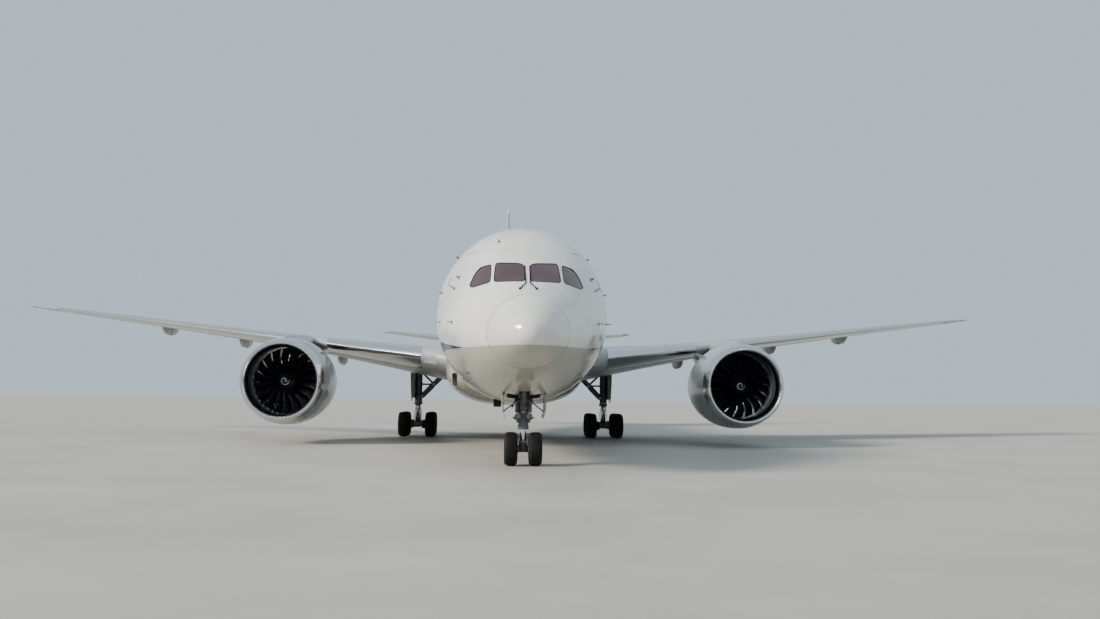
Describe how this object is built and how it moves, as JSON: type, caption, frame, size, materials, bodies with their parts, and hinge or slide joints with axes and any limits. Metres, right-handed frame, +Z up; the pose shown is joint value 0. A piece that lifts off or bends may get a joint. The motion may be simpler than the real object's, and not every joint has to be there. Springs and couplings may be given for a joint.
{
  "type": "wide body twin-engine airliner, 1:2 scale model",
  "caption": "Parked wide body airliner with under-wing fan engines, steering nose gear, rolling wheels, hinged control surfaces, flaps and cargo doors.",
  "frame": {"origin": "on the ground under the middle of the overall length, on the centre plane", "axes": "+X towards the aircraft's left (port) wing tip, +Y towards the tail, +Z up; the nose points along -Y"},
  "size_m": [30.06, 28.36, 8.46],
  "materials": {
    "white_paint": "gloss white paint over a composite skin",
    "wing_grey_paint": "satin light grey paint over composite",
    "belly_grey_paint": "gloss warm grey paint over composite",
    "nacelle_grey_paint": "satin silver grey paint over composite",
    "bare_leading_edge": "polished bare aluminium",
    "hot_section_metal": "heat-stained nickel alloy",
    "fan_composite": "dark blade coating with metal leading edges",
    "gear_paint": "grey enamel on forged steel",
    "wheel_paint": "painted forged aluminium",
    "tyre_rubber": "worn black rubber",
    "windscreen_glass": "dark laminated glass"
  },
  "bodies": {
    "airframe": {"fuselage": "white_paint", "radome": "white_paint", "tail_cone": "bare_leading_edge", "flight_deck_windows": "windscreen_glass", "belly_fairing": "belly_grey_paint", "fin": "white_paint", "nose_gear_leg": "gear_paint", "wing_left": "wing_grey_paint", "slat_inboard_left": "bare_leading_edge", "slat_outboard_left": "bare_leading_edge", "stabiliser_left": "wing_grey_paint", "inlet_lip_left": "bare_leading_edge", "cowl_left": "nacelle_grey_paint", "engine_core_left": "hot_section_metal", "pylon_left": "nacelle_grey_paint", "main_gear_leg_left": "gear_paint", "main_gear_door_left": "belly_grey_paint", "nose_gear_door_left": "belly_grey_paint", "wing_right": "wing_grey_paint", "slat_inboard_right": "bare_leading_edge", "slat_outboard_right": "bare_leading_edge", "stabiliser_right": "wing_grey_paint", "inlet_lip_right": "bare_leading_edge", "cowl_right": "nacelle_grey_paint", "engine_core_right": "hot_section_metal", "pylon_right": "nacelle_grey_paint", "main_gear_leg_right": "gear_paint", "main_gear_door_right": "belly_grey_paint", "nose_gear_door_right": "belly_grey_paint"},
    "nose_steering": {"nose_gear_steering": "gear_paint"},
    "nose_wheels": {"nose_wheel_hubs": "wheel_paint", "nose_tyre_left": "tyre_rubber", "nose_tyre_right": "tyre_rubber"},
    "rudder": {"rudder": "white_paint"},
    "cargo_door_forward": {"cargo_door_forward": "white_paint"},
    "cargo_door_aft": {"cargo_door_aft": "white_paint"},
    "aileron_left": {"aileron_left": "wing_grey_paint"},
    "flaperon_left": {"flaperon_left": "wing_grey_paint"},
    "elevator_left": {"elevator_left": "wing_grey_paint"},
    "flap_inboard_left": {"flap_inboard_left": "wing_grey_paint"},
    "flap_outboard_left": {"flap_outboard_left": "wing_grey_paint"},
    "main_wheels_front_left": {"main_wheel_hubs_front_left": "wheel_paint", "tyre_front_inner_left": "tyre_rubber", "tyre_front_outer_left": "tyre_rubber"},
    "main_wheels_rear_left": {"main_wheel_hubs_rear_left": "wheel_paint", "tyre_rear_inner_left": "tyre_rubber", "tyre_rear_outer_left": "tyre_rubber"},
    "fan_left": {"fan_left": "fan_composite"},
    "aileron_right": {"aileron_right": "wing_grey_paint"},
    "flaperon_right": {"flaperon_right": "wing_grey_paint"},
    "elevator_right": {"elevator_right": "wing_grey_paint"},
    "flap_inboard_right": {"flap_inboard_right": "wing_grey_paint"},
    "flap_outboard_right": {"flap_outboard_right": "wing_grey_paint"},
    "main_wheels_front_right": {"main_wheel_hubs_front_right": "wheel_paint", "tyre_front_inner_right": "tyre_rubber", "tyre_front_outer_right": "tyre_rubber"},
    "main_wheels_rear_right": {"main_wheel_hubs_rear_right": "wheel_paint", "tyre_rear_inner_right": "tyre_rubber", "tyre_rear_outer_right": "tyre_rubber"},
    "fan_right": {"fan_right": "fan_composite"}
  },
  "joints": [
    {"name": "nose_steering", "type": "hinge", "parent": "airframe", "child": "nose_steering", "pos_m": [0, -11.64, 0.5], "axis": [0, 0, 1], "range_deg": [-70, 70]},
    {"name": "nose_wheels_spin", "type": "hinge", "parent": "nose_steering", "child": "nose_wheels", "pos_m": [0, -11.62, 0.254], "axis": [1, 0, 0], "continuous": true},
    {"name": "rudder_turn", "type": "hinge", "parent": "airframe", "child": "rudder", "pos_m": [0, 11.76128, 6.3375], "axis": [0, 0.4697, 0.8828], "range_deg": [-27, 27]},
    {"name": "cargo_door_forward_hinge", "type": "hinge", "parent": "airframe", "child": "cargo_door_forward", "pos_m": [-1.39319, -7.9075, 2.075], "axis": [0, 1, 0], "range_deg": [0, 110]},
    {"name": "cargo_door_aft_hinge", "type": "hinge", "parent": "airframe", "child": "cargo_door_aft", "pos_m": [-1.37072, 4.6425, 2.075], "axis": [0.029, 0.9996, 0], "range_deg": [0, 110]},
    {"name": "aileron_left_hinge", "type": "hinge", "parent": "airframe", "child": "aileron_left", "pos_m": [11.634, 3.31865, 3.257], "axis": [0.8933, 0.4311, 0.1273], "range_deg": [-20, 25]},
    {"name": "flaperon_left_hinge", "type": "hinge", "parent": "airframe", "child": "flaperon_left", "pos_m": [5.1955, 0.44633, 2.28927], "axis": [0.896, 0.4215, 0.1396], "range_deg": [-30, 15]},
    {"name": "elevator_left_hinge", "type": "hinge", "parent": "airframe", "child": "elevator_left", "pos_m": [2.8875, 12.86957, 3.35696], "axis": [0.8774, 0.4656, 0.116], "range_deg": [-25, 30]},
    {"name": "flap_inboard_left_hinge", "type": "hinge", "parent": "airframe", "child": "flap_inboard_left", "pos_m": [3.2825, -0.01732, 1.62809], "axis": [0.9655, 0.1693, 0.1978], "range_deg": [-30, 0]},
    {"name": "flap_outboard_left_hinge", "type": "hinge", "parent": "airframe", "child": "flap_outboard_left", "pos_m": [7.96, 1.47138, 2.44442], "axis": [0.892, 0.4298, 0.1402], "range_deg": [-30, 0]},
    {"name": "main_wheels_front_left_spin", "type": "hinge", "parent": "airframe", "child": "main_wheels_front_left", "pos_m": [2.45, -0.595, 0.3175], "axis": [1, 0, 0], "continuous": true},
    {"name": "main_wheels_rear_left_spin", "type": "hinge", "parent": "airframe", "child": "main_wheels_rear_left", "pos_m": [2.45, 0.135, 0.3175], "axis": [1, 0, 0], "continuous": true},
    {"name": "fan_left_spin", "type": "hinge", "parent": "airframe", "child": "fan_left", "pos_m": [4.925, -5.055, 1.34], "axis": [0, 1, 0], "continuous": true},
    {"name": "aileron_right_hinge", "type": "hinge", "parent": "airframe", "child": "aileron_right", "pos_m": [-11.634, 3.31865, 3.257], "axis": [0.8933, -0.4311, -0.1273], "range_deg": [-20, 25]},
    {"name": "flaperon_right_hinge", "type": "hinge", "parent": "airframe", "child": "flaperon_right", "pos_m": [-5.1955, 0.44633, 2.28927], "axis": [0.896, -0.4215, -0.1396], "range_deg": [-30, 15]},
    {"name": "elevator_right_hinge", "type": "hinge", "parent": "airframe", "child": "elevator_right", "pos_m": [-2.8875, 12.86957, 3.35696], "axis": [0.8774, -0.4656, -0.116], "range_deg": [-25, 30]},
    {"name": "flap_inboard_right_hinge", "type": "hinge", "parent": "airframe", "child": "flap_inboard_right", "pos_m": [-3.2825, -0.01732, 1.62809], "axis": [0.9655, -0.1693, -0.1978], "range_deg": [-30, 0]},
    {"name": "flap_outboard_right_hinge", "type": "hinge", "parent": "airframe", "child": "flap_outboard_right", "pos_m": [-7.96, 1.47138, 2.44442], "axis": [0.892, -0.4298, -0.1402], "range_deg": [-30, 0]},
    {"name": "main_wheels_front_right_spin", "type": "hinge", "parent": "airframe", "child": "main_wheels_front_right", "pos_m": [-2.45, -0.595, 0.3175], "axis": [1, 0, 0], "continuous": true},
    {"name": "main_wheels_rear_right_spin", "type": "hinge", "parent": "airframe", "child": "main_wheels_rear_right", "pos_m": [-2.45, 0.135, 0.3175], "axis": [1, 0, 0], "continuous": true},
    {"name": "fan_right_spin", "type": "hinge", "parent": "airframe", "child": "fan_right", "pos_m": [-4.925, -5.055, 1.34], "axis": [0, 1, 0], "continuous": true}
  ]
}
